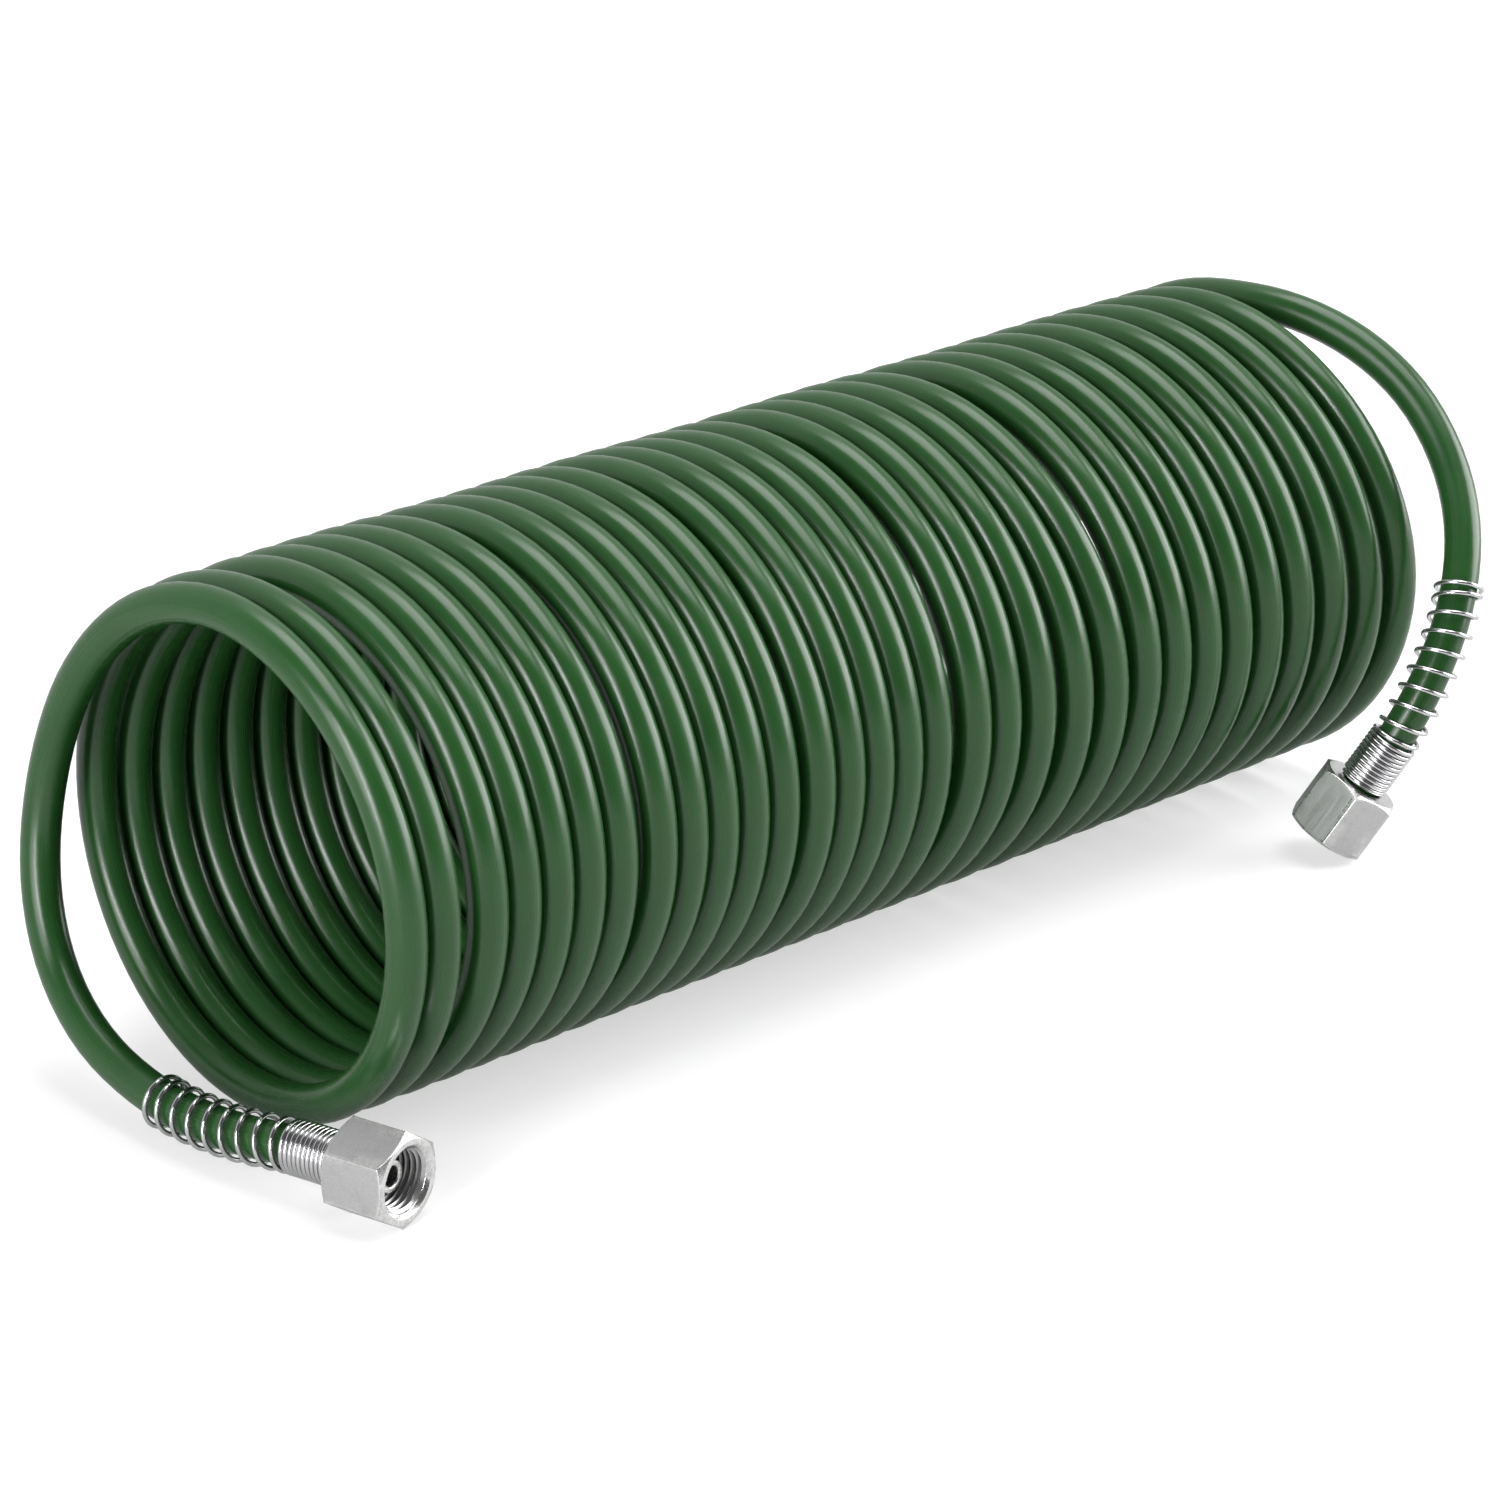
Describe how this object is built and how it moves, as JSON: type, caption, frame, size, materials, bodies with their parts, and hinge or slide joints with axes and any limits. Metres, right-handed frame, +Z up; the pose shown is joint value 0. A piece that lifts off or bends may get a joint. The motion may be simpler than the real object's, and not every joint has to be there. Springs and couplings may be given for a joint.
{
  "type": "recoil air hose",
  "caption": "Self-coiling plastic air hose lying on its side, with a free tail, a wire spring guard and a swivel nut at each end.",
  "frame": {"origin": "centre of the bounding box on the floor that the hose lies on", "axes": "+X along the coil's axis toward the far end, +Z up, +Y toward the side without the nuts"},
  "size_m": [0.3194, 0.1314, 0.109],
  "materials": {
    "hose_green": "semi-gloss extruded plastic with fine lines along the tube",
    "spring_steel": "bright plated spring wire",
    "plated_nut": "satin nickel plate with bright chamfers",
    "plated_stem": "nickel plate, turned"
  },
  "bodies": {
    "hose": {"hose_coil": "hose_green", "near_hose_tail": "hose_green", "far_hose_tail": "hose_green", "near_spring_guard": "spring_steel", "far_spring_guard": "spring_steel", "near_stem": "plated_stem", "far_stem": "plated_stem"},
    "near_nut": {"near_swivel_nut": "plated_nut"},
    "far_nut": {"far_swivel_nut": "plated_nut"}
  },
  "joints": [
    {"name": "near_nut_swivel", "type": "hinge", "parent": "hose", "child": "near_nut", "pos_m": [-0.1474, -0.03486, 0.00979], "axis": [0.2251, -0.9743, 0], "continuous": true},
    {"name": "far_nut_swivel", "type": "hinge", "parent": "hose", "child": "far_nut", "pos_m": [0.11925, -0.05326, 0.01629], "axis": [-0.3998, 0.3658, -0.8405], "continuous": true}
  ]
}
